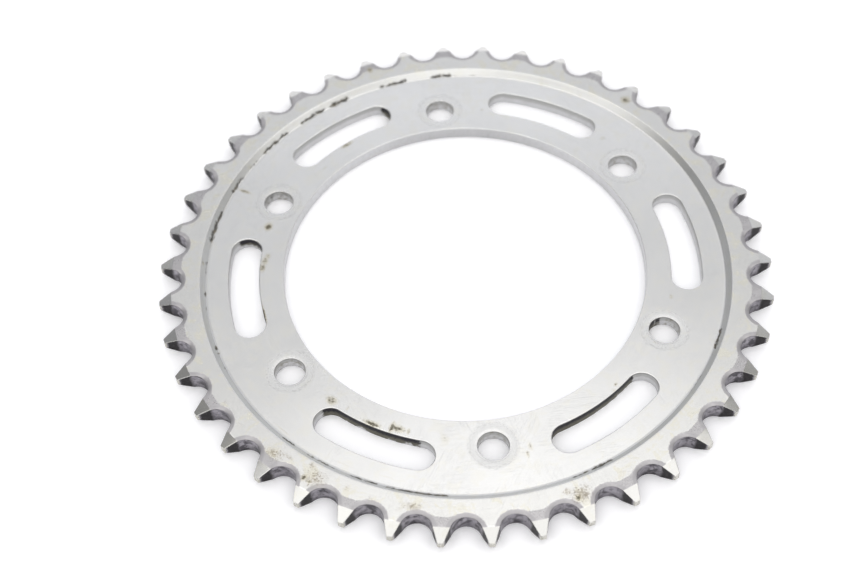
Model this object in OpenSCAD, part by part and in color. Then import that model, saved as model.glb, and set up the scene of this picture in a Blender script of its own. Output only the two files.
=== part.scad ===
// Rear chain sprocket: one steel disc with teeth, a thinner recessed
// mounting plate, six bolt holes, six curved lightening slots and a pilot bore.
// The origin is the centre of the bore on the flat back face, +Z points
// out of the recessed face, and one bolt hole lies on +Y.

/* [Chain and teeth] */
// Number of teeth (a multiple of the number of bolt holes keeps the pattern even)
teeth = 42; // [36:1:50]
// Pitch of the roller chain
chain_pitch = 15.875; // [15.7:0.025:16.05]
// Radius of the roller seat at the bottom of each gap
seat_r = 5.2; // [4.9:0.05:5.5]
// How far the root circle is below the pitch circle
root_depth = 5.02; // [4.7:0.02:5.5]
// How far the tooth tips stand above the pitch circle
tip_height = 3.53; // [2.6:0.01:4.2]
// Width of the flat land at each tooth tip
tip_land = 1.9; // [1:0.1:2.4]
// Turn of the tooth pattern from the bolt hole on +Y, clockwise seen from +Z
tooth_phase = 2.7; // [0:0.1:8.5]

/* [Rim] */
// Thickness of the toothed rim, which fills the inner width of the chain
rim_t = 7.2; // [6:0.1:9]
// Radial length of the turned bevel on both sides of the teeth
bevel_len = 4.8; // [3:0.05:6]
// How much the bevel falls over that length
bevel_drop = 2.3; // [0.5:0.1:2.6]
// Width of the sloping band round each gap on the recessed side
roll_w = 1.5; // [0.6:0.1:1.8]
// Depth of that band at the wall of the gap
roll_h = 0.42; // [0.2:0.02:0.8]

/* [Mounting plate] */
// Thickness of the recessed plate
plate_t = 5; // [4:0.1:5.8]
// Radius where the recess floor meets the foot of the step
recess_r = 92.9; // [91:0.1:93]
// Radial width of the sloping wall of the step
step_w = 1.95; // [0.5:0.05:2.6]
// Radius of the pilot bore
bore_r = 65; // [60:0.5:66]
// Edge break on the bore and on the bolt holes
edge_c = 0.35; // [0.1:0.05:0.5]

/* [Bolt holes] */
// Number of bolt holes and of slots
holes = 6; // [5:1:6]
// Diameter of the bolt circle
bolt_pcd = 150; // [148:0.5:152]
// Radius of each bolt hole
bolt_r = 5.25; // [4:0.05:6]

/* [Slots] */
// Inner radius of the curved slots
slot_in_r = 73.9; // [73:0.1:76]
// Outer radius of the curved slots
slot_out_r = 84.75; // [82:0.05:86]
// Angle that each slot covers, from end to end
slot_span = 31.4; // [20:0.1:34]

/* [Hidden] */
$fn = 96;
over = 1; // how far cutters run past the faces they cut

tooth_step = 360 / teeth;
pitch_r = chain_pitch / 2 / sin(180 / teeth);
tip_r = pitch_r + tip_height;
blank_r = tip_r + 2; // oversize disc, trimmed by the turned section
root_r = pitch_r - root_depth;
bevel_r = tip_r - bevel_len;

// Slot: radius of its centre line, of its round ends, and half the angle
// between the centres of those ends
slot_mid_r = (slot_in_r + slot_out_r) / 2;
slot_end_r = (slot_out_r - slot_in_r) / 2;
slot_half = slot_span / 2 - asin(slot_end_r / slot_mid_r);

function polar(r, angle) = [r * cos(angle), r * sin(angle)];

// Mirror image of a point across the X axis
function flip(point) = [point.x, -point.y];

// Gap drawn on +X: centre of its seat, and the corner at y > 0 where its
// flank meets the tip circle
seat_centre = [root_r + seat_r, 0];
land_angle = tip_land / 2 / tip_r * 180 / PI;
corner = polar(tip_r, tooth_step / 2 - land_angle);

// The flank runs from that corner and touches the seat circle without a kink
seat_to_corner = corner - seat_centre;
touch_angle = atan2(seat_to_corner.y, seat_to_corner.x)
    + acos(seat_r / norm(seat_to_corner));
touch = seat_centre + polar(seat_r, touch_angle);
flank = corner - touch;
flank_end = touch + flank * 1.8; // carried on past the blank

// Sloping band beside a flank: its share of the flank length, and how far
// its cutter reaches over the gap and upwards
roll_share = 0.62;
roll_reach = 2;
roll_cut_h = 3;

// Copies the children from +X to every gap between the teeth
module at_gaps() {
    for (i = [0 : teeth - 1])
        rotate(90 - tooth_phase - (i + 0.5) * tooth_step) children();
}

// Copies the children from +X round the bolt pattern, clockwise from +Y;
// shift is in steps of the pattern
module at_holes(shift = 0) {
    for (i = [0 : holes - 1])
        rotate(90 - (i + shift) * 360 / holes) children();
}

// Outline of one gap between two teeth, on +X
module gap_outline() {
    translate(seat_centre) circle(r = seat_r);
    polygon([touch, flank_end, flip(flank_end), flip(touch)]);
}

// Curved slot with round ends, centred on +X
module slot_outline() {
    wedge_corner = polar(slot_out_r * 1.2, slot_half);
    intersection() {
        difference() {
            circle(r = slot_out_r);
            circle(r = slot_in_r);
        }
        polygon([[0, 0], wedge_corner, flip(wedge_corner)]);
    }
    for (side = [-1, 1])
        rotate(side * slot_half) translate([slot_mid_r, 0]) circle(r = slot_end_r);
}

// Toothed outline with a slot midway between each two bolt holes
module toothed_outline() {
    difference() {
        circle(r = blank_r);
        at_gaps() gap_outline();
        at_holes(shift = 0.5) slot_outline();
    }
}

// Turned section of the disc as [radius, z]: bore, recess, step, rim and bevels
module turned_section() {
    polygon([
        [bore_r + edge_c, 0],
        [bevel_r, 0],
        [tip_r, bevel_drop],
        [tip_r, rim_t - bevel_drop],
        [bevel_r, rim_t],
        [recess_r + step_w, rim_t],
        [recess_r, plate_t],
        [bore_r + edge_c, plate_t],
        [bore_r, plate_t - edge_c],
        [bore_r, edge_c]
    ]);
}

// Cutter for the sloping band round one gap: a cone at the seat and a
// tilted block along each flank
module rolled_edge() {
    base_z = rim_t - roll_h;
    translate([seat_centre.x, 0, base_z])
        cylinder(
            r1 = seat_r,
            r2 = seat_r + roll_w * (1 + over / roll_h),
            h = roll_h + over
        );
    for (side = [0, 1])
        mirror([0, side, 0])
            translate([touch.x, touch.y, base_z])
                rotate(atan2(flank.y, flank.x))
                    rotate([atan(roll_h / roll_w), 0, 0])
                        translate([0, -roll_reach, 0])
                            cube([
                                norm(flank) * roll_share,
                                roll_reach + roll_w + over,
                                roll_cut_h
                            ]);
}

// Cutter for a bolt hole with a broken edge on both faces
module bolt_hole() {
    wide_r = bolt_r + edge_c + over;
    cone_h = edge_c + over;
    translate([0, 0, -over]) {
        cylinder(r = bolt_r, h = plate_t + 2 * over);
        cylinder(r1 = wide_r, r2 = bolt_r, h = cone_h);
    }
    translate([0, 0, plate_t - edge_c])
        cylinder(r1 = bolt_r, r2 = wide_r, h = cone_h);
}

module rear_sprocket() {
    color([0.80, 0.81, 0.82])
    difference() {
        intersection() {
            linear_extrude(rim_t) toothed_outline();
            rotate_extrude() turned_section();
        }
        at_gaps() rolled_edge();
        at_holes() translate([bolt_pcd / 2, 0, 0]) bolt_hole();
    }
}

rear_sprocket();
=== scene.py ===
import math

import bpy
import numpy as np
from mathutils import Matrix, Vector
from mathutils.geometry import delaunay_2d_cdt


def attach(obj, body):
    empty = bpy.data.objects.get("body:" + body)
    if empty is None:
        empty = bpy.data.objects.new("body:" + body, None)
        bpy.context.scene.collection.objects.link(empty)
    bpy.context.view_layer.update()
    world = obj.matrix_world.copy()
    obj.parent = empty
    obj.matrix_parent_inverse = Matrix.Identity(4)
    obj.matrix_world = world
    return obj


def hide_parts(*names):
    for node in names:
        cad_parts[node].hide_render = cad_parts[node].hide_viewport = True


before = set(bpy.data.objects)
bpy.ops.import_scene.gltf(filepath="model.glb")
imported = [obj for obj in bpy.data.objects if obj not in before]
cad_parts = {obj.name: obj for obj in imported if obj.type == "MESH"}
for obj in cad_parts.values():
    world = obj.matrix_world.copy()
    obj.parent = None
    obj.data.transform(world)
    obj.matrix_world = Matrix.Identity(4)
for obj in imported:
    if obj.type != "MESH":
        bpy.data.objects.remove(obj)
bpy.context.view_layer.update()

# ---------------------------------------------------------------- sizes, mm
TEETH = 42
TOOTH_STEP = 2 * math.pi / TEETH
CHAIN_PITCH = 15.875
PITCH_R = CHAIN_PITCH / 2 / math.sin(math.pi / TEETH)
TIP_R = PITCH_R + 3.53
ROOT_R = PITCH_R - 5.02
SEAT_R = 5.2  # the round bottom of a gap, where a roller sits
SEAT_CENTRE = np.array([ROOT_R + SEAT_R, 0])
TIP_LAND = 1.9
PHASE = math.radians(2.7)
RIM_T = 7.2
BEVEL_LEN = 4.8
BEVEL_R = TIP_R - BEVEL_LEN
BEVEL_DROP = 2.3
PLATE_T = 5.0
RECESS_R = 92.9  # foot of the step from the plate up to the rim
STEP_W = 1.95
RIM_R = RECESS_R + STEP_W
BORE_R = 65.0
BOLT_CIRCLE_R = 75.0
BOLT_R = 5.25
BOLTS = [
    (BOLT_CIRCLE_R * math.sin(k * math.pi / 3), BOLT_CIRCLE_R * math.cos(k * math.pi / 3))
    for k in range(6)
]
SLOT_IN = 73.9
SLOT_OUT = 84.75
SLOT_MID = (SLOT_IN + SLOT_OUT) / 2
SLOT_END = (SLOT_OUT - SLOT_IN) / 2
SLOT_HALF = math.radians(31.4) / 2 - math.asin(SLOT_END / SLOT_MID)
SLOT_ANGLES = [math.radians(90 - (k + 0.5) * 60) for k in range(6)]
ROLL_W = 1.5  # width of the rolled-down edge round the gaps


def unit(angle):
    return np.array([math.cos(angle), math.sin(angle)])


def units(angles):
    return np.stack([np.cos(angles), np.sin(angles)], 1)


def turn(points, angle):
    c, s = math.cos(angle), math.sin(angle)
    x, y = points[:, 0], points[:, 1]
    return np.stack([x * c - y * s, x * s + y * c], 1)


def gap_angle(i):
    return math.pi / 2 - PHASE - (i + 0.5) * TOOTH_STEP


# the flank of a gap lying on +X: it touches the seat circle and ends at the tip
corner = TIP_R * unit(TOOTH_STEP / 2 - TIP_LAND / 2 / TIP_R)
to_corner = corner - SEAT_CENTRE
TOUCH_ANGLE = math.atan2(to_corner[1], to_corner[0]) + math.acos(
    SEAT_R / np.linalg.norm(to_corner)
)
TOUCH = SEAT_CENTRE + SEAT_R * unit(TOUCH_ANGLE)
FLANK = (corner - TOUCH) / np.linalg.norm(corner - TOUCH)
FLANK_NORMAL = np.array([FLANK[1], -FLANK[0]])  # into the gap
SLOT_END_CENTRE = SLOT_MID * unit(SLOT_HALF)


# ---------------------------------------------------------------- smooth noise
def ease(t):
    return t * t * (3 - 2 * t)


def smooth(value, start, end):
    return ease(np.clip((np.asarray(value, float) - start) / (end - start), 0, 1))


NOISE_GRID = np.random.default_rng(7).random((64, 64, 64))


def noise3(points, scale):
    """Smooth value noise from -1 to 1 at the points, with cells of `scale` mm."""
    scaled = np.asarray(points, float) / scale + 1000.37
    cell = np.floor(scaled).astype(int)
    part = ease(scaled - cell)
    total = 0
    for dx in (0, 1):
        for dy in (0, 1):
            for dz in (0, 1):
                weight = (
                    (part[:, 0] if dx else 1 - part[:, 0])
                    * (part[:, 1] if dy else 1 - part[:, 1])
                    * (part[:, 2] if dz else 1 - part[:, 2])
                )
                corner_at = ((cell + (dx, dy, dz)) % 64).T
                total = total + weight * NOISE_GRID[tuple(corner_at)]
    return total * 2 - 1


def loop_noise(count, cells, seed):
    """Smooth noise from -1 to 1 along a closed loop of points."""
    values = np.random.default_rng(seed).random(cells) * 2 - 1
    place = np.arange(count) * cells / count
    cell = place.astype(int)
    part = ease(place - cell)
    return values[cell % cells] * (1 - part) + values[(cell + 1) % cells] * part


# ---------------------------------------------------------------- outlines
# An outline is a pair of arrays, points and normals. It is walked with the metal on
# its left, and the normals point into the void.
def flank_reach(start, radius):
    """How far along the flank's direction from start the circle of a radius lies."""
    middle = start @ FLANK
    return -middle + math.sqrt(middle * middle - start @ start + radius**2)


def half_gap(wear, tip_loss):
    """Outline from the bottom of a gap on +X to the middle of the next tip land.

    The tooth's corner is worn to a radius of `wear` and its tip is `tip_loss` short.
    """
    outline = []
    for k in range(13):
        way = unit(math.pi + (TOUCH_ANGLE - math.pi) * k / 13)
        outline.append((SEAT_CENTRE + SEAT_R * way, -way))
    tip = TIP_R - tip_loss
    base = TOUCH - FLANK_NORMAL * wear
    flank_end = flank_reach(base, tip - wear)
    centre = base + FLANK * flank_end
    at_bevel = flank_reach(TOUCH, BEVEL_R)
    beyond = at_bevel + (flank_end - at_bevel) * np.arange(1, 12) / 11
    for along in [0.0, at_bevel] + list(beyond):
        outline.append((TOUCH + FLANK * along, FLANK_NORMAL))
    start = math.atan2(FLANK_NORMAL[1], FLANK_NORMAL[0])
    end = math.atan2(centre[1], centre[0])
    for k in range(1, 5):
        way = unit(start + (end - start) * k / 4)
        outline.append((centre + wear * way, way))
    for k in range(1, 3):
        way = unit(end + (TOOTH_STEP / 2 - end) * k / 2)
        outline.append((tip * way, way))
    return np.array(outline).transpose(1, 0, 2)


def outer_outline():
    rng = np.random.default_rng(20)
    wear = 0.36 + 0.26 * rng.random((TEETH, 2))
    loss = 0.12 * rng.random(TEETH)
    sides = ([], [])
    # tooth i lies between gaps i-1 and i; walking anticlockwise, the gap index falls
    for i in range(TEETH - 1, -1, -1):
        upper = half_gap(wear[i, 0], loss[i])
        lower = half_gap(wear[i, 1], loss[(i + 1) % TEETH])
        for side, up, low in zip(sides, upper, lower):
            low = (low * [1, -1])[::-1]
            side.append(turn(np.concatenate([low[1:-1], up]), gap_angle(i)))
    return np.concatenate(sides[0]), np.concatenate(sides[1])


def hole_outline(x, y, radius, count):
    ways = units(-2 * np.pi * np.arange(count) / count)
    return ways * radius + [x, y], -ways


def slot_outline(angle):
    """A curved slot with round ends, its middle at an angle."""
    origin = np.zeros(2)
    # centre, radius, start and end angle, points, side of the arc the void is on
    arcs = [
        (origin, SLOT_OUT, SLOT_HALF, -SLOT_HALF, 46, -1),
        (SLOT_END_CENTRE * [1, -1], SLOT_END, -SLOT_HALF, -SLOT_HALF - np.pi, 26, -1),
        (origin, SLOT_IN, -SLOT_HALF, SLOT_HALF, 40, 1),
        (SLOT_END_CENTRE, SLOT_END, SLOT_HALF + np.pi, SLOT_HALF, 26, -1),
    ]
    points, normals = [], []
    for centre, radius, start, end, count, void_side in arcs:
        ways = units(np.linspace(start, end, count, endpoint=False))
        points.append(centre + ways * radius)
        normals.append(ways * void_side)
    return turn(np.concatenate(points), angle), turn(np.concatenate(normals), angle)


# ---------------------------------------------------------------- distances
def fold(points, centre, step):
    """Points of a pattern that repeats round the axis, brought to the unit on +X and
    to its +Y half. Also gives their radius and the angle from their unit's middle."""
    radius = np.hypot(points[:, 0], points[:, 1])
    angle = np.arctan2(points[:, 1], points[:, 0])
    offset = (angle - centre + step / 2) % step - step / 2
    folded = np.stack([radius * np.cos(offset), radius * np.abs(np.sin(offset))], 1)
    return folded, radius, offset


def gap_distance(points):
    """Distance in the plane from the points to the nearest gap outline, and how far
    along the flank (above 0) or round the seat (below 0, in mm) that place lies."""
    folded, _, _ = fold(points, gap_angle(0), TOOTH_STEP)
    from_seat = folded - SEAT_CENTRE
    angle = np.arctan2(from_seat[:, 1], from_seat[:, 0])
    seat_distance = np.hypot(from_seat[:, 0], from_seat[:, 1]) - SEAT_R
    from_touch = folded - TOUCH
    on_seat = angle > TOUCH_ANGLE
    distance = np.where(on_seat, seat_distance, -(from_touch @ FLANK_NORMAL))
    along = np.where(on_seat, -(angle - TOUCH_ANGLE) * SEAT_R, from_touch @ FLANK)
    return distance, along


def slot_distance(points):
    folded, radius, offset = fold(points, np.pi / 3, np.pi / 3)
    # the slots' middles lie at 30 degrees from +Y, on every sixth of a turn
    end = np.hypot(*(folded - SLOT_END_CENTRE).T) - SLOT_END
    side = np.abs(radius - SLOT_MID) - SLOT_END
    return np.where(np.abs(offset) < SLOT_HALF, side, end)


def bolt_distance(points):
    """Distance to the nearest bolt hole's centre."""
    return np.min([np.hypot(points[:, 0] - x, points[:, 1] - y) for x, y in BOLTS], 0)


# ---------------------------------------------------------------- heights
def filleted(corners, radii):
    """Dense radii and heights of a polyline with its inner corners rounded."""
    table = [corners[0]]
    for k in range(1, len(corners) - 1):
        point = np.array(corners[k], float)
        back = np.array(corners[k - 1], float) - point
        ahead = np.array(corners[k + 1], float) - point
        back /= np.linalg.norm(back)
        ahead /= np.linalg.norm(ahead)
        half = math.acos(np.clip(back @ ahead, -1, 1)) / 2
        reach = radii[k - 1] / math.tan(half)
        for t in np.linspace(0, 1, 9):
            table.append(tuple(point + back * reach * (1 - t) ** 2 + ahead * reach * t**2))
    table.append(corners[-1])
    table = np.array(table)
    return table[:, 0], table[:, 1]


# the tables run from inside the bore to beyond the tips, on the bevels' slope
TABLE_START, TABLE_MARGIN = 60, 3
END_DROP = BEVEL_DROP * (BEVEL_LEN + TABLE_MARGIN) / BEVEL_LEN
FOOT_FILLET, STEP_FILLET, BEVEL_FILLET = 1.0, 0.5, 0.7
TOP_TABLE = filleted(
    [(TABLE_START, PLATE_T), (RECESS_R, PLATE_T), (RIM_R, RIM_T), (BEVEL_R, RIM_T),
     (TIP_R + TABLE_MARGIN, RIM_T - END_DROP)],
    [FOOT_FILLET, STEP_FILLET, BEVEL_FILLET],
)
BOTTOM_TABLE = filleted(
    [(TABLE_START, 0), (BEVEL_R, 0), (TIP_R + TABLE_MARGIN, END_DROP)], [BEVEL_FILLET]
)


def top_height(points):
    radius = np.hypot(points[:, 0], points[:, 1])
    z = np.interp(radius, *TOP_TABLE)
    # the face rolls down into each gap, most at the bottom and nearly not on the flanks
    distance, along = gap_distance(points)
    depth = np.clip(ROLL_W - distance, 0, ROLL_W + 0.3)
    fade = 0.12 + 0.88 * smooth(-along, 0.6, 4.2)
    fade = np.where(along > 0, 0.12 * (1 - smooth(along, 0, 3)), fade)
    z = z - (0.13 * depth + 0.10 * depth * depth) * fade
    # nut seats: dished a little round each bolt hole
    bolt = bolt_distance(points)
    z = z - 0.014 * (1 - smooth(bolt, 7.0, 8.9)) - 0.045 * (1 - smooth(bolt, 5.3, 6.8))
    # rolled steel is never quite flat
    flat = np.stack([points[:, 0], points[:, 1], 0 * radius], 1)
    return z + 0.010 * noise3(flat, 23) + 0.004 * noise3(flat + 50, 7)


def bottom_height(points):
    z = np.interp(np.hypot(points[:, 0], points[:, 1]), *BOTTOM_TABLE)
    distance, _ = gap_distance(points)
    return z + 0.05 * np.clip(0.5 - distance, 0, 0.8)


def slope_normals(height, points, up):
    h = 0.04
    dx = (height(points + [h, 0]) - height(points - [h, 0])) / (2 * h)
    dy = (height(points + [0, h]) - height(points - [0, h])) / (2 * h)
    normals = np.stack([-dx, -dy, np.ones(len(points))], 1) * (1 if up else -1)
    return normals / np.linalg.norm(normals, axis=1, keepdims=True)


# ---------------------------------------------------------------- walls
FACE, GAP_WALL, CUT_WALL = 0, 1, 2  # material slots


class MeshParts:
    """The mesh as it grows, and the loops that its two faces are filled from."""

    def __init__(self):
        self.places, self.normals, self.faces, self.slots = [], [], [], []
        self.top_loops, self.bottom_loops = [], []
        self.count = 0

    def add(self, points, z, normals):
        start = self.count
        self.places.append(np.concatenate([points, z[:, None]], 1))
        self.normals.append(normals)
        self.count += len(points)
        return np.arange(start, self.count)

    def strip(self, upper, lower, slot):
        quads = np.stack([lower, np.roll(lower, -1), np.roll(upper, -1), upper], 1)
        self.faces += quads.tolist()
        self.slots += [slot] * len(quads)


parts = MeshParts()


def add_wall(outline, top_round, bottom_round, slot):
    """The side wall of one outline. The radius of its top edge varies by point."""
    levels = 3
    points, normals = outline
    top_points = points - normals * top_round[:, None]
    bottom_points = points - normals * bottom_round
    top_z, bottom_z = top_height(top_points), bottom_height(bottom_points)
    top_normals = slope_normals(top_height, top_points, True)
    bottom_normals = slope_normals(bottom_height, bottom_points, False)
    flat_normals = np.concatenate([normals, np.zeros((len(points), 1))], 1)
    rings = []
    for phi in np.radians([90, 62, 31, 0]):
        c, s = math.cos(phi), math.sin(phi)
        inset = points - normals * top_round[:, None] * (1 - c)
        z = top_z - top_round * (1 - s)
        rings.append((inset, z, top_normals * s + flat_normals * c))
    high, low = top_z - top_round, bottom_z + bottom_round
    for k in range(1, levels):
        rings.append((points, high + (low - high) * k / levels, flat_normals))
    for phi in np.radians([0, 45, 90]):
        c, s = math.cos(phi), math.sin(phi)
        inset = points - normals * bottom_round * (1 - c)
        z = bottom_z + bottom_round * (1 - s)
        rings.append((inset, z, bottom_normals * s + flat_normals * c))
    ids = [
        parts.add(ring_points, z, way / np.linalg.norm(way, axis=1, keepdims=True))
        for ring_points, z, way in rings
    ]
    last = len(ids) - 1
    for k in range(last):
        edge = k < 2 or (k == last - 1 and slot != GAP_WALL)
        parts.strip(ids[k], ids[k + 1], FACE if edge else slot)
    parts.top_loops.append((ids[0], top_points))
    parts.bottom_loops.append((ids[-1], bottom_points))


def outer_rounding(points):
    """Radius of the top edge along the teeth."""
    count = len(points)
    chips = np.clip(loop_noise(count, 700, seed=4) - 0.55, 0, 1)
    rounding = 0.15 + 0.05 * loop_noise(count, 260, seed=3) + 0.10 * chips
    # the flank that the chain pulls on is rounder along its edge, most near the tip
    _, radius, offset = fold(points, gap_angle(0), TOOTH_STEP)
    pulled = smooth(radius, 103.0, 107.5) * (offset < -0.2 * TOOTH_STEP)
    return rounding + 0.17 * pulled * (0.75 + 0.25 * loop_noise(count, TEETH, seed=5))


def add_walls():
    outline = outer_outline()
    add_wall(outline, outer_rounding(outline[0]), 0.18, GAP_WALL)
    for k, angle in enumerate(SLOT_ANGLES):
        outline = slot_outline(angle)
        rounding = 0.38 + 0.06 * loop_noise(len(outline[0]), 24, seed=30 + k)
        add_wall(outline, rounding, 0.2, CUT_WALL)
    for k, (x, y) in enumerate(BOLTS):
        rounding = 0.30 + 0.05 * loop_noise(96, 10, seed=50 + k)
        add_wall(hole_outline(x, y, BOLT_R, 96), rounding, 0.3, CUT_WALL)
    rounding = 0.34 + 0.04 * loop_noise(420, 70, seed=70)
    add_wall(hole_outline(0, 0, BORE_R, 420), rounding, 0.3, CUT_WALL)


# ---------------------------------------------------------------- marks of use
# Each mark: angle clockwise from the +Y hole, radius, half length round the disc,
# half width across it (mm), strength. Rim marks lie on the raised rim.
OIL = [
    (205.3, 71.6, 2.4, 1.2, 0.75), (206.9, 71.6, 0.8, 2.0, 0.85), (202.3, 71.6, 0.5, 1.1, 0.6),
    (212.3, 72.9, 2.7, 0.9, 0.95), (225.3, 72.5, 1.8, 1.5, 0.75), (220.3, 72.0, 0.5, 1.4, 0.35),
    (192.5, 72.0, 1.6, 2.0, 0.25), (290.8, 74.2, 1.6, 1.3, 1.0), (299.9, 89.3, 0.6, 2.3, 0.85),
    (276.2, 72.8, 1.7, 1.0, 0.78), (278.6, 72.1, 1.7, 1.1, 0.7), (280.3, 71.4, 1.3, 1.0, 0.58),
    (260.4, 73.62, 3.6, 0.28, 1.0),
    (329.0, 72.8, 2.4, 0.8, 0.75), (12.6, 75.0, 0.7, 0.7, 0.35), (49.0, 79.6, 1.0, 1.4, 0.3),
    (109.0, 74.3, 1.1, 0.8, 0.4), (142.4, 72.2, 0.9, 0.45, 0.55), (144.1, 73.4, 0.8, 0.8, 0.35),
    (171.2, 77.8, 0.9, 1.8, 0.4), (172.4, 80.4, 0.5, 1.3, 0.55), (124.9, 73.9, 0.3, 0.7, 0.5),
    (318.0, 69.8, 1.4, 0.5, 0.3), (147.2, 87.2, 1.6, 0.4, 0.2), (204.0, 89.5, 3.0, 0.3, 0.25),
    (229.0, 91.2, 4.0, 0.3, 0.3), (213.0, 90.3, 5.0, 0.3, 0.2),
]
RIM_OIL = [
    (166.1, 100.2, 0.7, 0.9, 1.0), (45.8, 101.2, 1.7, 1.7, 0.85), (346.0, 104.0, 1.1, 1.4, 0.75),
    (218.5, 100.6, 0.8, 1.1, 0.95), (217.2, 101.0, 0.6, 0.6, 0.8), (26.0, 95.2, 0.8, 0.5, 0.4),
    (36.0, 95.2, 0.6, 0.5, 0.35), (265.0, 94.9, 0.5, 0.3, 0.5), (278.1, 94.6, 0.5, 0.3, 0.8),
    (307.5, 94.8, 1.2, 0.5, 0.35),
]
SPECKS = [
    (165.2, 99.6, 2.2, 1.9, 0.95), (167.4, 97.0, 1.2, 0.9, 0.75), (163.8, 97.8, 0.8, 1.3, 0.45),
    (157.0, 99.2, 2.8, 0.9, 0.3), (197.2, 97.9, 2.4, 1.0, 0.75), (199.2, 99.8, 1.0, 0.6, 0.4),
    (210.2, 97.6, 0.8, 1.0, 0.45), (216.6, 99.2, 2.9, 2.4, 0.7), (218.4, 95.9, 1.1, 0.9, 0.7),
    (226.3, 99.3, 2.4, 1.5, 0.75), (223.7, 97.4, 2.0, 0.7, 0.45), (235.6, 100.2, 1.4, 0.8, 0.3),
    (241.6, 99.0, 0.6, 0.9, 0.35), (271.6, 99.8, 1.2, 0.8, 0.35), (283.5, 98.4, 1.5, 1.0, 0.25),
    (204.8, 98.6, 2.0, 1.2, 0.3), (259.0, 101.0, 1.2, 0.8, 0.3), (33.0, 99.4, 2.0, 1.2, 0.25),
    (112.0, 99.0, 1.6, 1.0, 0.25), (70.5, 100.0, 1.6, 0.8, 0.25),
]
# grime in the corner of the step: from angle, to angle, strength
FOOT = [
    (-0.8, 4.2, 0.95), (4, 13, 0.28), (115.2, 120.8, 0.9), (127, 133, 0.4), (156.2, 160.8, 1.2),
    (161.5, 165.5, 0.6), (190.5, 203.5, 0.8), (204.5, 211, 0.62), (213.5, 221, 0.55),
    (224, 227.5, 0.85), (246.5, 250.5, 0.35), (252.5, 255.5, 0.6), (265, 266, 0.5),
    (268.5, 270, 0.65), (274.5, 278.5, 0.45), (283.6, 292.5, 1.15), (293, 297, 0.25),
    (298, 303.5, 0.75), (306, 309.5, 0.35), (311.5, 318, 0.8), (318.3, 320, 0.9),
    (324, 327, 0.7), (327, 331.5, 0.9), (332.8, 338, 1.4), (345.8, 349.5, 0.6),
    (349.8, 353, 1.1),
]
# Marks are given as sighted on the plate's level from this place and height, so one
# on the higher rim really lies a little nearer to it.
SIGHT_FROM = np.array([-34.6, -294.9])
SIGHT_HEIGHT = 400


def mark_axes(degrees, radius):
    """A mark's true centre, and its directions across and along the disc."""
    angle = math.radians(degrees)
    centre = np.array([radius * math.sin(angle), radius * math.cos(angle)])
    if radius > RECESS_R + STEP_W / 2:
        centre = centre + (RIM_T - PLATE_T) / SIGHT_HEIGHT * (SIGHT_FROM - centre)
    across = centre / np.linalg.norm(centre)
    return centre, across, np.array([across[1], -across[0]])


def marks(points, table, spread=1.0):
    """Soft mask at the points: 1 in the middle of a full-strength mark."""
    mask = np.zeros(len(points))
    for degrees, radius, half_length, half_width, strength in table:
        centre, across, along = mark_axes(degrees, radius)
        offset = points - centre
        u = (offset @ across) / half_width
        v = (offset @ along) / half_length
        mask = np.maximum(mask, strength * np.exp(-0.9 * (u * u + v * v) * spread))
    return mask


# ---------------------------------------------------------------- points in the faces
# The top face is filled finely, the bottom one coarsely.
def ring(radius, count, shift=0.0):
    return units(2 * np.pi * (np.arange(count) + shift) / count) * radius


def plate_points(fine):
    """An even spread over the plate, clear of the slots and bolt holes."""
    gap = 1.9 if fine else 4.5
    rows = []
    radius = BORE_R + gap * 0.8
    while radius < RECESS_R - (0.9 if fine else 0):
        rows.append(ring(radius, int(2 * np.pi * radius / gap), 0.5 * (len(rows) % 2)))
        radius += gap * 0.87
    plate = np.concatenate(rows)
    clear_of_slots = slot_distance(plate) > gap * 0.5 + (0.7 if fine else 0.4)
    clear_of_bolts = bolt_distance(plate) > BOLT_R + (4.2 if fine else 2.5)
    return plate[clear_of_slots & clear_of_bolts]


def cutout_points():
    """Rings round the bolt holes and a row round each slot."""
    rows = []
    for radius in (5.95, 6.3, 6.7, 7.1, 7.4, 7.65, 7.95, 8.25, 8.55, 9.0):
        for x, y in BOLTS:
            rows.append(ring(radius, 48) + [x, y])
    for angle in SLOT_ANGLES:
        points, normals = slot_outline(angle)
        rows.append(points - normals * 0.95)
    return rows


def step_rings():
    """Closed rings across the step, kept as edges."""
    radii = [
        *np.linspace(RECESS_R - 0.35, RECESS_R + 0.25, 5),
        RECESS_R + 0.75, RECESS_R + 1.3, RECESS_R + 1.75,
        *np.linspace(RIM_R - 0.22, RIM_R + 0.22, 5),
    ]
    return [ring(radius, 504) for radius in radii]


def tooth_rows(fine):
    """Rows over half a tooth pitch from a gap on +X, each with the least distance
    it keeps from the rows before it."""

    def arc(radius, count):
        return radius * units(np.linspace(0, TOOTH_STEP / 2, count))

    if not fine:
        rows = [(0.3, arc(BEVEL_R + side, 9)) for side in (-0.2, 0.2)]
        return rows + [(1.1, arc(radius, 5)) for radius in np.arange(100.5, 109.3, 1.6)]
    rows = [(0.2, arc(BEVEL_R + side, 14)) for side in (-0.16, 0.16)]
    seat_ways = units(np.linspace(TOUCH_ANGLE, np.pi, 14))
    for offset in (0.38, 0.62, 0.9, 1.2, 1.5, 1.85):
        rows.append((0.22, SEAT_CENTRE + (SEAT_R + offset) * seat_ways))
    for offset in (0.5, 1.1):
        along = np.arange(0.45, 7, 0.62)[:, None]
        rows.append((0.3, TOUCH + FLANK * along - FLANK_NORMAL * offset))
    return rows + [(0.55, arc(radius, 9)) for radius in np.arange(99.4, 109.4, 0.85)]


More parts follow.
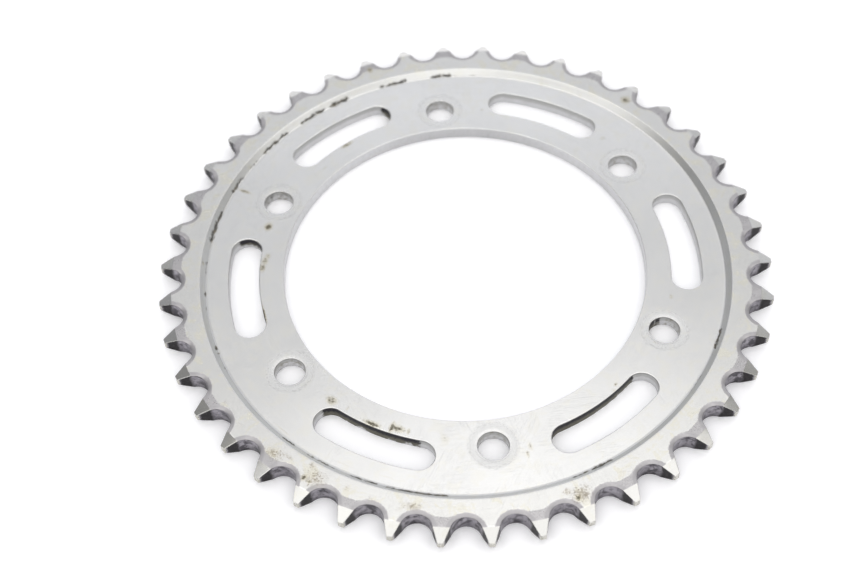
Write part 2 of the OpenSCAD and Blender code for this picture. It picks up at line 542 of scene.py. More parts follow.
def tooth_points(fine):
    """The tooth rows, thinned and copied to both sides of every gap."""
    chosen = np.zeros((0, 2))
    for least, row in tooth_rows(fine):
        for point in row:
            if len(chosen) and np.min(np.hypot(*(chosen - point).T)) < least:
                continue
            chosen = np.vstack([chosen, point])
    angle = np.arctan2(chosen[:, 1], chosen[:, 0])
    radius = np.hypot(chosen[:, 0], chosen[:, 1])
    distance, _ = gap_distance(turn(chosen, gap_angle(0)))
    keep = (angle >= -1e-9) & (angle <= TOOTH_STEP / 2 + 1e-9) & (distance > 0.34)
    keep &= (radius < TIP_R - 0.45) & (radius > 98.9)
    chosen, angle = chosen[keep], angle[keep]
    # points on the lines of symmetry aren't mirrored
    single = (chosen[:, 1] < 1e-6) | (np.abs(angle - TOOTH_STEP / 2) < 1e-7)
    mirrored = chosen[~single] * [1, -1]
    rows = []
    for i in range(TEETH):
        rows += [turn(chosen, gap_angle(i)), turn(mirrored, gap_angle(i))]
    return rows


def with_mark_points(points):
    """Adds closer points under the marks, so that their edges are drawn well."""
    close = []
    for degrees, radius, half_length, half_width, _ in OIL + RIM_OIL + SPECKS:
        centre, across, along = mark_axes(degrees, radius)
        for u in np.arange(-1.6 * half_width, 1.61 * half_width, 0.45):
            for v in np.arange(-1.6 * half_length, 1.61 * half_length, 0.45):
                close.append(centre + across * u + along * v)
    close = np.array(close)
    radius = np.hypot(*close.T)
    distance, _ = gap_distance(close)
    clear = (
        (radius > BORE_R + 0.9) & (slot_distance(close) > 1.3) & (bolt_distance(close) > 9.4)
        & ((radius < RECESS_R - 1.2) | (radius > RIM_R + 1.1)) & (distance > 2.1)
        & (radius < BEVEL_R - 0.5)
    )
    for point in close[clear]:
        if np.min(np.abs(points - point).max(1)) > 0.28:
            points = np.vstack([points, point])
    return points


def free_points(fine):
    rows = [plate_points(fine)]
    if fine:
        rows += cutout_points()
        rim_rows = ((RECESS_R - 0.9, 504), (RIM_R + 0.8, 420), (96.9, 378), (98.2, 378))
    else:
        rim_rows = ((96.5, 210), (99, 210))
    rows += [ring(radius, count, 0.5) for radius, count in rim_rows]
    points = np.concatenate(rows + tooth_points(fine))
    return with_mark_points(points) if fine else points


# ---------------------------------------------------------------- filling the faces
def inside_loops(points, loops):
    """Even-odd test of the points against closed loops."""
    count = np.zeros(len(points), int)
    for loop in loops:
        a, b = loop, np.roll(loop, -1, 0)
        for start in range(0, len(points), 400):
            batch = slice(start, start + 400)
            y = points[batch, 1][:, None]
            x = points[batch, 0][:, None]
            crosses = (a[:, 1] > y) != (b[:, 1] > y)
            with np.errstate(divide="ignore", invalid="ignore"):
                at = a[:, 0] + (y - a[:, 1]) / (b[:, 1] - a[:, 1]) * (b[:, 0] - a[:, 0])
            count[batch] += (crosses & (x < at)).sum(1)
    return count % 2 == 1


def fill(loops, height, up):
    """Triangulates the face that the loops bound."""
    loop_points = [points for _, points in loops]
    kept_rings = step_rings() if up else []
    edges = []
    start = 0
    for closed in loop_points + kept_rings:
        count = len(closed)
        edges += [(start + k, start + (k + 1) % count) for k in range(count)]
        start += count
    on_loop = sum(map(len, loop_points))
    extra = np.concatenate(kept_rings + [free_points(fine=up)])
    new_ids = parts.add(extra, height(extra), slope_normals(height, extra, up))
    flat = np.concatenate(loop_points + [extra])
    ids = np.concatenate([loop_ids for loop_ids, _ in loops] + [new_ids])
    _, _, triangles, origins, _, _ = delaunay_2d_cdt(
        [Vector(c) for c in flat], edges, [], 0, 1e-7, True
    )
    source = np.array([origin[0] if origin else -1 for origin in origins])
    if (source < 0).any():
        raise RuntimeError(f"{(source < 0).sum()} outline edges cross")
    triangles = source[np.array(triangles)]
    a, b, c = (flat[triangles[:, k]] for k in range(3))
    area = (b[:, 0] - a[:, 0]) * (c[:, 1] - a[:, 1]) - (b[:, 1] - a[:, 1]) * (c[:, 0] - a[:, 0])
    # a triangle with all its corners on loops may span a hole or a gap
    unsure = (triangles < on_loop).all(1)
    keep = ~unsure
    keep[unsure] = inside_loops((a + b + c)[unsure] / 3, loop_points)
    triangles, area = triangles[keep], area[keep]
    flipped = (area < 0) if up else (area > 0)
    triangles[flipped] = triangles[flipped][:, ::-1]
    parts.faces += ids[triangles].tolist()
    parts.slots += [FACE] * len(triangles)


# ---------------------------------------------------------------- mesh attributes
def wall_oil(places, radius, window):
    """Old chain oil on the walls of the slots and bolt holes."""
    points = places[:, :2]
    in_slot = slot_distance(points) < 0.02
    inner = in_slot * (1 - smooth(radius, 75.5, 77.5))
    high = smooth(places[:, 2], 0.6, 3.0)
    # the inner walls of three slots
    oil = inner * (window(137.0, 167) + window(199.0, 226, 3))
    oil += inner * window(255, 263.5, 2) * 0.9
    # some ends of the slots
    near_210 = window(220, 225.2, 1.5) * (1 - smooth(radius, 77.5, 80.0))
    oil += in_slot * (window(163.5, 167) * 0.7 + near_210)
    reach = np.maximum(high, 1 - smooth(radius, 74.2, 76.2))
    oil += in_slot * window(281.3, 287) * (1 - smooth(radius, 82.0, 83.6)) * 1.1 * reach
    band = (1 - smooth(radius, 82.8, 84)) * smooth(radius, 74.5, 76.5)
    oil += in_slot * window(342.8, 347) * band * (0.5 + 0.6 * high)
    oil += in_slot * window(74, 77) * smooth(radius, 77, 79) * 0.15
    # part of one bolt hole, by the angle from +X at its centre, and all of another
    x, y = (points - BOLTS[2]).T
    in_hole = np.hypot(x, y) < BOLT_R + 0.02
    angle = np.degrees(np.arctan2(y, x)) % 360
    oil += in_hole * smooth(angle, 98, 140) * (1 - smooth(angle, 176, 196))
    oil += in_hole * smooth(angle, 88, 96) * (1 - smooth(angle, 108, 116)) * 0.5
    oil += (np.hypot(*(points - BOLTS[5]).T) < BOLT_R + 0.02) * 0.22
    return np.clip(oil, 0, 1.1)


def add_attributes(mesh, places):
    points = places[:, :2]
    radius = np.hypot(*points.T)
    degrees = np.degrees(np.arctan2(points[:, 0], points[:, 1])) % 360
    top_side = smooth(places[:, 2], 2.4, 3.4)

    def window(start, end, soft=1.5):
        """1 between two angles, with soft ends."""
        middle, half = (start + end) / 2, (end - start) / 2
        away = np.abs((degrees - middle + 180) % 360 - 180)
        return 1 - smooth(away, half - soft / 2, half + soft / 2)

    foot = np.zeros(len(places))
    for start, end, strength in FOOT:
        foot = np.maximum(foot, strength * window(start, end, soft=1.0))
    foot = foot * smooth(radius, 91.5, 92.0) * (1 - smooth(radius, 94.3, 94.7))
    distance, along = gap_distance(points)
    oil = marks(points, OIL + RIM_OIL) * top_side + wall_oil(places, radius, window)
    values = {
        "gap_d": np.clip(distance, 0, 6),
        "flank": np.clip(along, -6, 8),
        "slot_d": np.clip(slot_distance(points), 0, 20),
        "bolt_d": np.clip(bolt_distance(points), 0, 20),
        "speck": marks(points, SPECKS, spread=0.55) * top_side,
        "foot": foot * top_side,
        "oil": np.clip(oil, 0, 1.1),
    }
    for name, data in values.items():
        layer = mesh.attributes.new(name, "FLOAT", "POINT")
        layer.data.foreach_set("value", np.asarray(data, np.float32))


# ---------------------------------------------------------------- shader nodes
class Value:
    """A node's output. Sums with numbers and other outputs add math nodes."""

    def __init__(self, net, socket):
        self.net, self.socket = net, socket

    def __add__(self, other):
        return self.net.calc("ADD", self, other)

    def __radd__(self, other):
        return self.net.calc("ADD", other, self)

    def __sub__(self, other):
        return self.net.calc("SUBTRACT", self, other)

    def __rsub__(self, other):
        return self.net.calc("SUBTRACT", other, self)

    def __mul__(self, other):
        return self.net.calc("MULTIPLY", self, other)

    def __rmul__(self, other):
        return self.net.calc("MULTIPLY", other, self)

    def __truediv__(self, other):
        return self.net.calc("DIVIDE", self, other)

    def __abs__(self):
        return self.net.calc("ABSOLUTE", self)

    def swing(self, amount):
        """Noise from 0 to 1 made to swing about 0."""
        return (self - 0.5) * amount

    def ramp(self, off, on, first=0.0, last=1.0):
        """Smooth step: `first` where this is at `off`, `last` where it is at `on`."""
        inputs = {"Value": self, "From Min": off, "From Max": on, "To Min": first, "To Max": last}
        return self.net.result("ShaderNodeMapRange", inputs, interpolation_type="SMOOTHSTEP")

    def blend(self, off, on):
        """The number `off` where this is 0 and `on` where it is 1."""
        return self.net.calc("MULTIPLY_ADD", self, self.net.calc("SUBTRACT", on, off), off)

    def scaled(self, factor):
        """This colour or vector times a number."""
        inputs = {0: self, "Scale": factor}
        return self.net.result("ShaderNodeVectorMath", inputs, operation="SCALE")


class Net:
    """Short ways to add shader nodes and join them."""

    def __init__(self, tree):
        self.tree = tree
        tree.nodes.clear()

    def put(self, socket, value):
        if isinstance(value, Value):
            self.tree.links.new(value.socket, socket)
        elif value is not None:
            socket.default_value = value

    def node(self, kind, inputs=(), **settings):
        """A node with its inputs set by name or number."""
        node = self.tree.nodes.new(kind)
        for name, value in settings.items():
            setattr(node, name, value)
        for key, value in dict(inputs).items():
            self.put(node.inputs[key], value)
        return node

    def result(self, kind, inputs=(), output=0, **settings):
        return Value(self, self.node(kind, inputs, **settings).outputs[output])

    def calc(self, operation, *values):
        return self.result("ShaderNodeMath", enumerate(values), operation=operation)

    def largest(self, first, *others):
        for other in others:
            first = self.calc("MAXIMUM", first, other)
        return first

    def attribute(self, name):
        return self.result("ShaderNodeAttribute", output="Fac", attribute_name=name)

    def vector(self, operation, *values, output=0):
        return self.result(
            "ShaderNodeVectorMath", enumerate(values), output, operation=operation
        )

    def noise(self, place, scale, detail=2.0, rough=0.5, warp=0.0, shift=None):
        if shift:
            place = self.vector("ADD", place, shift)
        inputs = {"Vector": place, "Scale": scale, "Detail": detail, "Roughness": rough,
                  "Distortion": warp}
        return self.result("ShaderNodeTexNoise", inputs, output="Fac")

    def join(self, *values):
        return self.result("ShaderNodeCombineXYZ", enumerate(values))

    def split(self, vector):
        node = self.node("ShaderNodeSeparateXYZ", {0: vector})
        return [Value(self, socket) for socket in node.outputs]

    def mix(self, factor, base, over):
        base, over = ((*c, 1) if isinstance(c, tuple) else c for c in (base, over))
        inputs = {0: factor, 6: base, 7: over}
        return self.result("ShaderNodeMix", inputs, output=2, data_type="RGBA")

    def position(self):
        """Position in mm."""
        return self.result("ShaderNodeTexCoord", output="Object").scaled(1000.0)

    def place(self):
        """Position in mm, its parts, the radius and the angle from +Y."""
        position = self.position()
        x, y, z = self.split(position)
        radius = self.calc("SQRT", x * x + y * y)
        return position, x, y, z, radius, self.calc("ARCTAN2", x, y)

    def surface(self, colour, rough, metal, height, specular=None):
        """Ends a material. The height is in mm."""
        bump = {"Height": height, "Distance": 0.001, "Strength": 1.0}
        inputs = {
            "Base Color": colour, "Roughness": rough, "Metallic": metal,
            "Normal": self.result("ShaderNodeBump", bump), "Specular IOR Level": specular,
        }
        shader = self.result("ShaderNodeBsdfPrincipled", inputs)
        self.node("ShaderNodeOutputMaterial", {0: shader})


def new_material(name):
    material = bpy.data.materials.new(name)
    material.use_nodes = True
    return material, Net(material.node_tree)


# ---------------------------------------------------------------- materials
def hair_scratches(net, position, x, y):
    """Fine lines in three directions, each in its own patches."""
    lines = []
    for direction, seed in ((0.35, 3.0), (1.55, 17.0), (2.6, 41.0)):
        c, s = math.cos(direction), math.sin(direction)
        across, along = x * c + y * s, y * c - x * s
        stretched = net.join(across * 2.2, along * 0.05, seed)
        line = net.noise(stretched, scale=1.0, detail=2, rough=0.6, warp=0.35)
        line = abs(line - 0.5).ramp(off=0.018, on=0.0)
        patch = net.noise(position, scale=0.06, detail=1, shift=(seed, seed * 2, 0))
        lines.append(line * patch.ramp(off=0.5, on=0.62))
    return net.largest(*lines)


def face_material():
    """Plated faces: satin plate, rim, bright tooth bevels, dull rolled edges, wear."""
    material, net = new_material("plated_face")
    position, x, y, z, radius, angle = net.place()
    upper = z.ramp(off=2.6, on=3.2)
    fine = net.noise(position, scale=3.0, detail=3, rough=0.6)
    small = net.noise(position, scale=1.25, detail=3, rough=0.55)
    middling = net.noise(position, scale=0.22, detail=3, rough=0.55, warp=0.6)
    broad = net.noise(position, scale=0.045, detail=2, rough=0.5)

    # every other tooth keeps a bright strip between the rolled edges
    parity = net.calc("COSINE", (angle - math.radians(148.4)) * (TEETH / 2))
    grey = parity.ramp(off=0.25, on=-0.25)
    past_roll = net.attribute("gap_d") - ROLL_W
    past_base = 101.6 - radius
    past_both = net.calc("SMOOTH_MIN", past_roll, past_base, 1.6)
    past = grey.blend(past_roll, past_both) + (small.swing(0.55) + fine.swing(0.5))
    bevel = radius.ramp(off=BEVEL_R - 0.05, on=BEVEL_R + 0.10)
    dull = past.ramp(off=0.18, on=-0.20) * (1.0 - bevel) * upper

    rim = radius.ramp(off=RIM_R - 0.1, on=RIM_R + 0.2) * (1.0 - bevel)
    wall = radius.ramp(off=RECESS_R - 0.1, on=RECESS_R + 0.25)
    wall = wall * radius.ramp(off=RIM_R + 0.1, on=RIM_R - 0.2) * upper

    # plate, rim, bevel, the step's wall (darker on one side, a painted shade) and the rolled
    # edges
    colour = net.mix(rim, (0.712, 0.710, 0.710), (0.684, 0.680, 0.672))
    colour = net.mix(bevel, colour, (0.700, 0.695, 0.680))
    wall_colour = net.mix(0.5, (0.725, 0.725, 0.715), (0.735, 0.735, 0.725))
    # painted shade: the step's wall up to 16 % darker on the side about 139 degrees round from +Y
    shade = abs(angle - 2.42).ramp(off=0.55, on=0.15, first=1.0, last=0.84)
    colour = net.mix(wall, colour, wall_colour.scaled(shade))
    inside = 1.0 - radius.ramp(off=RECESS_R - 0.5, on=RECESS_R + 0.5)
    # painted light: the plate inside the step up to 10 % lighter towards +Y
    far_painted_light = (y + x * 0.25).ramp(off=15.0, on=80.0, first=0.0, last=0.10)
    colour = colour.scaled(1.0 + inside * far_painted_light)
    flat = past_roll.ramp(off=-0.35, on=0.3)
    dull_colour = net.mix(flat, (0.405, 0.393, 0.405), (0.446, 0.434, 0.444))
    colour = net.mix(dull, colour, dull_colour)

    # faint yellow film in patches, strongest on the rim, and uneven brightness
    film = (middling + small.swing(0.25)).ramp(off=0.48, on=0.66) * rim.blend(off=0.30, on=0.85)
    colour = net.mix(film * (0.52 * (1.0 - dull)), colour, (0.645, 0.615, 0.49))
    mottle = middling.swing(0.11) + (
        small.swing(dull.blend(off=0.06, on=0.22)) + broad.swing(0.10)
    )
    mottle = mottle * bevel.blend(off=1.0, on=0.5)
    mottle = mottle + fine.swing(dull.blend(off=rim.blend(off=0.03, on=0.10), on=0.42))
    colour = colour.scaled(1.0 + mottle)

    # hair scratches, and light marks round the disc
    scratch = hair_scratches(net, position, x, y) * (1.0 - dull)
    rings = net.noise(net.join(radius * 3.5, angle * 2.0, 0.0), scale=1.0, detail=3, rough=0.6)
    colour = colour.scaled(1.0 + rings.swing(0.07))
    colour = colour.scaled(1.0 - scratch * 0.10)

    # nut seats: a darker worn ring round each bolt hole
    bolt = net.attribute("bolt_d")
    uneven = bolt + (small.swing(0.9) + middling.swing(1.3))
    seat = uneven.ramp(off=9.6, on=7.4) * uneven.ramp(off=5.0, on=6.4) * upper
    colour = colour.scaled(1.0 - seat * 0.06)
    seat_rim = uneven.ramp(off=6.9, on=7.9) * uneven.ramp(off=9.3, on=8.1) * upper
    scuff = net.noise(position, scale=1.7, detail=3, rough=0.7, shift=(3.0, 8.0, 1.0))
    colour = colour.scaled(1.0 - seat_rim * scuff.ramp(off=0.47, on=0.64) * 0.17)

    # the broken edges of slots, holes and bore: rougher, and darker except where they face +Y,
    # which instead get a painted highlight
    to_round = net.calc("MINIMUM", bolt - BOLT_R, radius - BORE_R)
    to_cut = net.calc("MINIMUM", net.attribute("slot_d"), to_round)
    broken = to_cut.ramp(off=0.34, on=0.08) * upper
    facing = net.split(net.result("ShaderNodeNewGeometry", output="Normal"))
    away = facing[1].ramp(off=0.05, on=0.3)
    colour = colour.scaled(1.0 - broken * away.blend(off=0.12, on=0.0))
    # painted highlight: near white on the broken edges that face +Y
    colour = net.mix(broken * away * 0.8, colour, (0.96, 0.96, 0.96))

    # brown specks, with a veil round them and loose ones on the rim
    speck = net.attribute("speck")
    spots = net.noise(position, scale=2.0, detail=3, rough=0.7) + speck * 0.22
    spots = spots.ramp(off=0.60, on=0.76) * speck.ramp(off=0.08, on=0.3)
    veil = speck.ramp(off=0.05, on=0.9) * 0.34
    loose = net.noise(position, scale=1.1, detail=2, rough=0.5, shift=(31.0, 7.0, 0.0))
    loose = loose.ramp(off=0.745, on=0.80) * (rim * 0.35)

    # old oil
    oil = net.attribute("oil")
    oily = net.noise(position, scale=1.5, detail=3, rough=0.7) + oil * 0.55
    oily = oily.ramp(off=0.66, on=0.98) * oil.ramp(off=0.05, on=0.25)

    # grime in the foot of the step, in a line of uneven width
    foot = net.attribute("foot")
    foot_noise = net.noise(net.join(angle * 60.0, radius, z), scale=0.9, detail=3, rough=0.65)
    foot_offset = abs((radius - (RECESS_R + 0.22)) + small.swing(0.8))
    grime = (foot_noise + foot * 0.6).ramp(off=0.66, on=0.92) * foot.ramp(off=0.05, on=0.3)
    width = grime * (0.30 + foot * 0.55)
    width = width * foot_noise.ramp(off=0.36, on=0.62, first=0.12, last=0.95)
    grime = grime * foot_offset.ramp(off=0.14 + width, on=width * 0.4)

    # painted shade: a thin grey line along the foot, wider and stronger towards -X and +Y, where
    # it also dims the fillet's reflection
    left_far = net.largest(
        (x / radius).ramp(off=-0.70, on=-0.90), (y / radius).ramp(off=0.35, on=0.65)
    )
    foot_shade_line = left_far.blend(
        off=radius.ramp(off=RECESS_R - 0.5, on=RECESS_R),
        on=radius.ramp(off=RECESS_R - 0.95, on=RECESS_R - 0.2),
    )
    foot_shade_line = foot_shade_line * radius.ramp(off=RECESS_R + 0.55, on=RECESS_R + 0.1) * upper
    foot_shade_line = foot_shade_line * left_far.blend(off=1.0, on=1.7)

    # veil, the painted shade line, specks, yellow round the oil, oil, grime
    colour = net.mix(veil, colour, (0.50, 0.44, 0.33))
    colour = net.mix(foot_shade_line * 0.22, colour, (0.40, 0.40, 0.40))
    colour = net.mix(net.largest(spots * 0.72, loose), colour, (0.235, 0.185, 0.12))
    colour = net.mix(oil.ramp(off=0.03, on=0.5) * 0.45, colour, (0.58, 0.53, 0.38))
    oil_colour = net.mix(fine, (0.060, 0.052, 0.035), (0.190, 0.170, 0.115))
    colour = net.mix(oily, colour, oil_colour)
    grime_colour = net.mix(
        small.ramp(off=0.47, on=0.66), (0.016, 0.014, 0.009), (0.13, 0.105, 0.06)
    )
    colour = net.mix(grime * 0.92, colour, grime_colour)
    dirt = net.largest(oily, grime, spots * 0.8)

    rough = rim.blend(off=0.20, on=0.225)
    rough = bevel.blend(off=rough, on=0.17)
    rough = wall.blend(off=rough, on=0.34)
    rough = dull.blend(off=rough, on=flat.blend(off=0.40, on=0.28))
    rough = rough + fine.swing(dull.blend(off=0.06, on=0.16))
    rough = rough + (seat * 0.08 + film * 0.05)
    rough = broken.blend(off=rough, on=0.4)
    rough = dirt.blend(off=rough, on=0.55)

    grain = net.noise(position, scale=6.0, detail=2, rough=0.5)
    height = grain * dull.blend(off=0.002, on=0.016) + small * dull.blend(off=0.002, on=0.02)
    height = height + rings * 0.002 - scratch * 0.003 + dirt * 0.02
    net.surface(colour, rough, metal=1.0 - dirt * 0.85, height=height)
    return material


def gap_wall_material():
    """The worn roller seats: dark, blotchy, nearly black on the flanks."""
    material, net = new_material("roller_wall")
    position, _, _, z, radius, angle = net.place()
    blot = net.noise(position, scale=0.42, detail=3, rough=0.6, warp=0.5)
    cloud = net.noise(position, scale=0.16, detail=2, rough=0.6)
    fine = net.noise(position, scale=2.6, detail=3, rough=0.6)
    stretched = net.join(angle * 90.0, radius * 0.8, z * 0.35)
    streak = net.noise(stretched, scale=1.0, detail=2, rough=0.6)
    colour = net.mix(blot.ramp(off=0.34, on=0.66), (0.160, 0.150, 0.170), (0.380, 0.362, 0.398))
    stain = (blot + cloud.swing(0.8)).ramp(off=0.46, on=0.34) * 0.75
    colour = net.mix(stain, colour, (0.052, 0.048, 0.056))
    colour = colour.scaled(1.0 + streak.swing(0.3))
    # painted shade: darker towards the bottom, where the wall meets the floor
    colour = colour.scaled(z.ramp(off=0.2, on=4.2, first=0.62, last=1.06))
    # black on the flanks from where they leave the seat to just before the tip
    along = net.attribute("flank") + (blot.swing(2.6) + cloud.swing(2.4))
    dark = along.ramp(off=0.2, on=1.5)
    dark = dark * (radius + fine.swing(1.6)).ramp(off=TIP_R - 0.7, on=TIP_R - 1.5)
    black = net.mix(fine.ramp(off=0.5, on=0.72), (0.009, 0.008, 0.009), (0.050, 0.045, 0.043))
    colour = net.mix(dark * 0.95, colour, black)
    # bright tips
    tip = (radius + fine.swing(0.9)).ramp(off=TIP_R - 1.1, on=TIP_R - 0.35)
    bright = net.mix(fine.ramp(off=0.36, on=0.60), (0.30, 0.285, 0.235), (0.68, 0.67, 0.62))
    colour = net.mix(tip, colour, bright)
    # dark spots, and a darker upper edge
    spots = net.noise(position, scale=1.5, detail=2, rough=0.5, shift=(9.0, 4.0, 2.0))
    colour = net.mix(spots.ramp(off=0.64, on=0.70) * 0.6, colour, (0.035, 0.03, 0.035))
    colour = colour.scaled(1.0 - z.ramp(off=RIM_T - 0.75, on=RIM_T - 0.40) * 0.35)
    net.surface(
        colour,
        rough=tip.blend(off=0.42 + fine.swing(0.25), on=0.33),
        metal=dark.blend(off=tip.blend(off=0.85, on=1.0), on=0.02),
        height=fine * 0.02 + streak * 0.02,
        specular=dark.blend(off=0.5, on=0.10),
    )
    return material


def cut_wall_material():
    """Walls of the slots, bolt holes and bore, with a darker band along the top."""
    material, net = new_material("pierced_wall")
    position, x, y, z, radius, angle = net.place()
    blot = net.noise(position, scale=0.9, detail=3, rough=0.6, warp=0.5)
    fine = net.noise(position, scale=3.2, detail=3, rough=0.6)
    stretched = net.join(x * 2.4, y * 2.4, z * 0.25)
    drag = net.noise(stretched, scale=1.0, detail=2, rough=0.6)
    bore = radius.ramp(off=BORE_R + 1.5, on=BORE_R + 0.8)
    band_foot = 2.75 + net.noise(position, scale=0.25, detail=2).swing(0.8)
    band = (z - band_foot).ramp(off=-0.15, on=0.15) * (1.0 - bore)
    colour = net.mix(band, (0.60, 0.60, 0.61), (0.43, 0.43, 0.425))
    colour = colour.scaled(1.0 + (drag.swing(0.22) + blot.swing(0.18)))
    specks = net.noise(position, scale=1.9, detail=2, rough=0.5, shift=(5.0, 5.0, 5.0))
    colour = net.mix(specks.ramp(off=0.66, on=0.72) * 0.45, colour, (0.20, 0.19, 0.15))
    # the bore is darker near +Y
    far_shade = abs(angle - 0.12).ramp(off=0.75, on=0.15, first=0.0, last=0.16)
    colour = colour.scaled(1.0 - bore * far_shade)
    # brown-grey dirt in the bolt holes and a darker upper edge
    hole = net.attribute("bolt_d").ramp(off=BOLT_R + 0.5, on=BOLT_R + 0.2)
    soil = net.noise(position, scale=0.75, detail=4, rough=0.68, shift=(2.0, 6.0, 3.0))
    soil = soil.ramp(off=0.46, on=0.66) * hole.blend(off=0.12, on=0.7)
    colour = net.mix(soil, colour, (0.25, 0.23, 0.175))
    lip = (z + fine.swing(0.8)).ramp(off=3.9, on=4.5) * (1.0 - bore)
    colour = colour.scaled(1.0 - lip * 0.22)
    # old oil, running down to an uneven lower end, darkest near the top
    oil = net.attribute("oil")
    oily = (blot + oil * 0.75).ramp(off=0.62, on=0.98) * oil.ramp(off=0.05, on=0.25)
    low = net.noise(net.join(x * 0.13, y * 0.13, 3.0), scale=1.0, detail=4, rough=0.7)
    ends = low.ramp(off=0.38, on=0.75, first=-0.6, last=2.4)
    oily = oily * (z + fine.swing(1.4)).ramp(off=ends - 0.4, on=ends + 0.5)
    high = (z + blot.swing(2.4)).ramp(off=1.7, on=3.3)
    dark = net.mix(high, (0.115, 0.110, 0.088), (0.014, 0.013, 0.021))
    flecks = fine.ramp(off=0.47, on=0.68) * high.blend(off=0.85, on=0.25)
    dark = net.mix(flecks, dark, (0.210, 0.200, 0.160))
    colour = net.mix(oily, colour, dark)
    rough = band.blend(off=0.42, on=0.34) + fine.swing(0.2)
    net.surface(
        colour,
        rough=oily.blend(off=rough, on=0.5),
        metal=1.0 - oily * 0.97,
        height=drag * 0.02 + fine * 0.01 + oily * (blot * 0.06),
        specular=oily.blend(off=0.5, on=0.10),
    )
    return material


# ---------------------------------------------------------------- sprocket
def build_sprocket():
    add_walls()
    fill(parts.top_loops, top_height, up=True)
    fill(parts.bottom_loops, bottom_height, up=False)

    places = np.concatenate(parts.places)
    normals = np.concatenate(parts.normals)
    used = np.zeros(len(places), bool)
    for face in parts.faces:
        used[face] = True
    new_index = np.cumsum(used) - 1
    faces = [[int(new_index[i]) for i in face] for face in parts.faces]
    places, normals = places[used], normals[used]

    mesh = bpy.data.meshes.new("sprocket_disc")
    mesh.from_pydata([tuple(v) for v in places * 0.001], [], faces)
    for make_material in (face_material, gap_wall_material, cut_wall_material):
        mesh.materials.append(make_material())
    mesh.polygons.foreach_set("material_index", parts.slots)
    mesh.polygons.foreach_set("use_smooth", [True] * len(mesh.polygons))
    mesh.update()
    add_attributes(mesh, places)

    sprocket = bpy.data.objects.new("sprocket_disc", mesh)
    bpy.context.scene.collection.objects.link(sprocket)
    mesh.normals_split_custom_set_from_vertices([tuple(v) for v in normals])
    return sprocket


sprocket = build_sprocket()
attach(sprocket, "root")
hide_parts("rear_sprocket")


# ---------------------------------------------------------------- studio, metres
def floor_material():
    """Matt paper with a faint glow."""
    material, net = new_material("studio_floor")
    paper = net.noise(net.position(), scale=0.02, detail=2)
    colour = net.mix(paper, (1.07, 1.07, 1.10), (1.09, 1.09, 1.12))
    matt = net.result("ShaderNodeBsdfDiffuse", {"Color": colour})
    glow = net.result("ShaderNodeEmission", {"Strength": 0.03})
    both = net.result("ShaderNodeAddShader", {0: matt, 1: glow})
    net.node("ShaderNodeOutputMaterial", {0: both})
    return material


def build_floor():
    half = 2.5
    corners = [(-half, -half, 0), (half, -half, 0), (half, half, 0), (-half, half, 0)]
    mesh = bpy.data.meshes.new("studio_floor")
    mesh.from_pydata(corners, [], [(0, 1, 2, 3)])
    floor = bpy.data.objects.new("studio_floor", mesh)
    bpy.context.scene.collection.objects.link(floor)
    # its origin is where the camera focuses, from any side
    floor.location = (0, -0.0639, -0.0001)
    mesh.materials.append(floor_material())
    return floor


floor = build_floor()


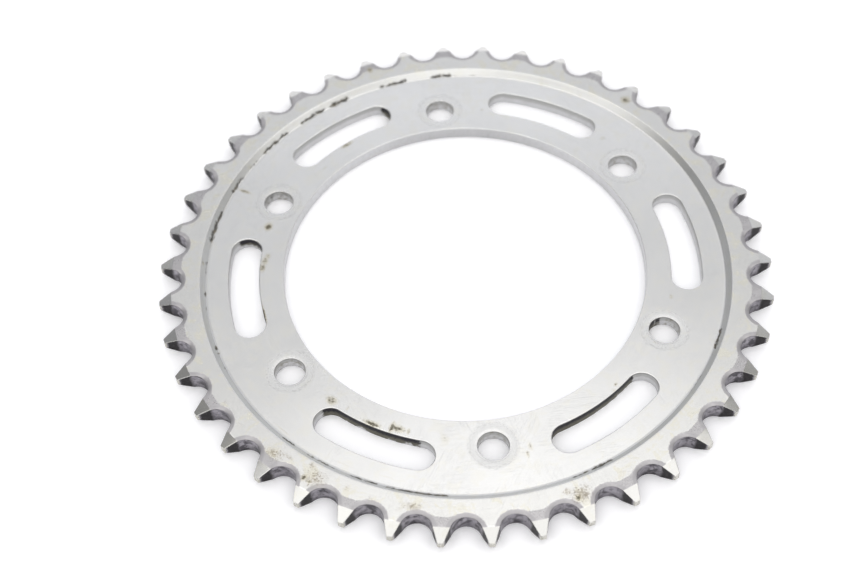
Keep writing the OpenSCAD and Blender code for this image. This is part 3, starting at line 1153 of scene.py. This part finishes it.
def build_world():
    """Soft light from all round: a large box overhead, a wide one behind the camera,
    a pale wall in front and darker sides."""
    world = bpy.data.worlds.new("studio")
    bpy.context.scene.world = world
    world.use_nodes = True
    net = Net(world.node_tree)
    generated = net.result("ShaderNodeTexCoord", output="Generated")
    way = net.vector("NORMALIZE", generated)
    x, y, z = net.split(way)
    z = net.largest(z, 0.02)
    # where the direction meets a ceiling one unit up
    ceiling_x, ceiling_y = x / z, y / z

    def lobe(strength, elevation, azimuth, sharpness):
        """A round glow. Degrees: up from the floor, and clockwise from +Y."""
        up, side = math.radians(elevation), math.radians(azimuth)
        centre = (math.sin(side) * math.cos(up), math.cos(side) * math.cos(up), math.sin(up))
        cosine = net.vector("DOT_PRODUCT", way, centre, output="Value")
        return net.calc("EXPONENT", (cosine - 1.0) * sharpness) * strength

    def below(value, edge, soft):
        """1 where the value is well below the edge."""
        return value.ramp(off=edge + soft / 2, on=edge - soft / 2)

    # the pale wall in front, over an even base
    light = 0.275 + (
        lobe(0.76, elevation=25, azimuth=5, sharpness=4)
        + lobe(0.363, elevation=20, azimuth=55, sharpness=9)
    )
    light = light + lobe(0.17, elevation=9, azimuth=-54, sharpness=25)
    light = light * z.ramp(off=-0.02, on=0.2, first=0.86, last=1.0)
    light = light - lobe(0.129, elevation=74, azimuth=175, sharpness=14)

    # the box overhead, with a bowed far edge
    bow = ceiling_x - 0.10
    far_edge = ceiling_y - net.largest(0.630 - bow * bow * 2.0, 0.535)
    box = ceiling_x.ramp(off=-0.706 - 0.062, on=-0.706 + 0.062)
    box = box * below(ceiling_x, edge=0.707, soft=0.124) * below(far_edge, edge=0.0, soft=0.08)
    # the wide box behind the camera
    back = below(abs(ceiling_x), edge=2.298, soft=0.6) * below(ceiling_y, edge=-0.119, soft=0.4)
    back = back * ceiling_y.ramp(off=-1.7, on=-0.9)
    # a brighter part inside the overhead box
    lamp = below(abs(ceiling_x), edge=0.42, soft=0.2) * below(ceiling_y, edge=0.36, soft=0.16)
    lamp = lamp * ceiling_y.ramp(off=0.0, on=0.12)
    light = light + box * ceiling_y.ramp(off=0.0, on=0.45, first=1.12, last=0.80)
    light = light + net.largest(back - box, 0.0) * 1.15
    light = light + lamp * 0.7
    light = light + lobe(0.09, elevation=57, azimuth=-18, sharpness=30)

    # darker at the far left, low at the far right and on the right; lighter on the left
    light = light - (
        lobe(0.12, elevation=27, azimuth=-53, sharpness=10)
        + lobe(0.13, elevation=3, azimuth=28, sharpness=12)
    )
    light = light + (
        lobe(0.06, elevation=50, azimuth=-95, sharpness=12)
        - lobe(0.06, elevation=42, azimuth=92, sharpness=12)
    )
    # warm overhead, cool towards the far side
    tint = net.mix(ceiling_y.ramp(off=0.5, on=0.95), (1.004, 1.0, 0.985), (0.985, 1.0, 1.03))
    background = net.result("ShaderNodeBackground", {"Color": tint, "Strength": light})
    net.node("ShaderNodeOutputWorld", {0: background})


build_world()


def build_camera():
    """Looks down at the disc from the -Y side."""
    lens = bpy.data.cameras.new("camera")
    lens.sensor_width = 36.0
    lens.sensor_fit = "HORIZONTAL"
    lens.lens = 57.99
    lens.clip_start = 0.01
    lens.clip_end = 20
    lens.dof.use_dof = True
    lens.dof.focus_distance = 0.465
    lens.dof.focus_object = floor
    lens.dof.aperture_fstop = 10.5
    camera = bpy.data.objects.new("camera", lens)
    bpy.context.scene.collection.objects.link(camera)
    # columns: the camera's right, up and backward directions, and its place
    camera.matrix_world = Matrix((
        (0.9931571, 0.1085536, -0.0430709, -0.0346006),
        (-0.1132726, 0.8055940, -0.5815391, -0.2948842),
        (-0.0284305, 0.5824384, 0.8123775, 0.4051073),
        (0, 0, 0, 1),
    ))
    bpy.context.scene.camera = camera


build_camera()
view_settings = bpy.context.scene.view_settings
view_settings.view_transform = "Standard"
view_settings.look = "None"
view_settings.exposure = 0.0
view_settings.gamma = 1.0

bpy.context.view_layer.update()
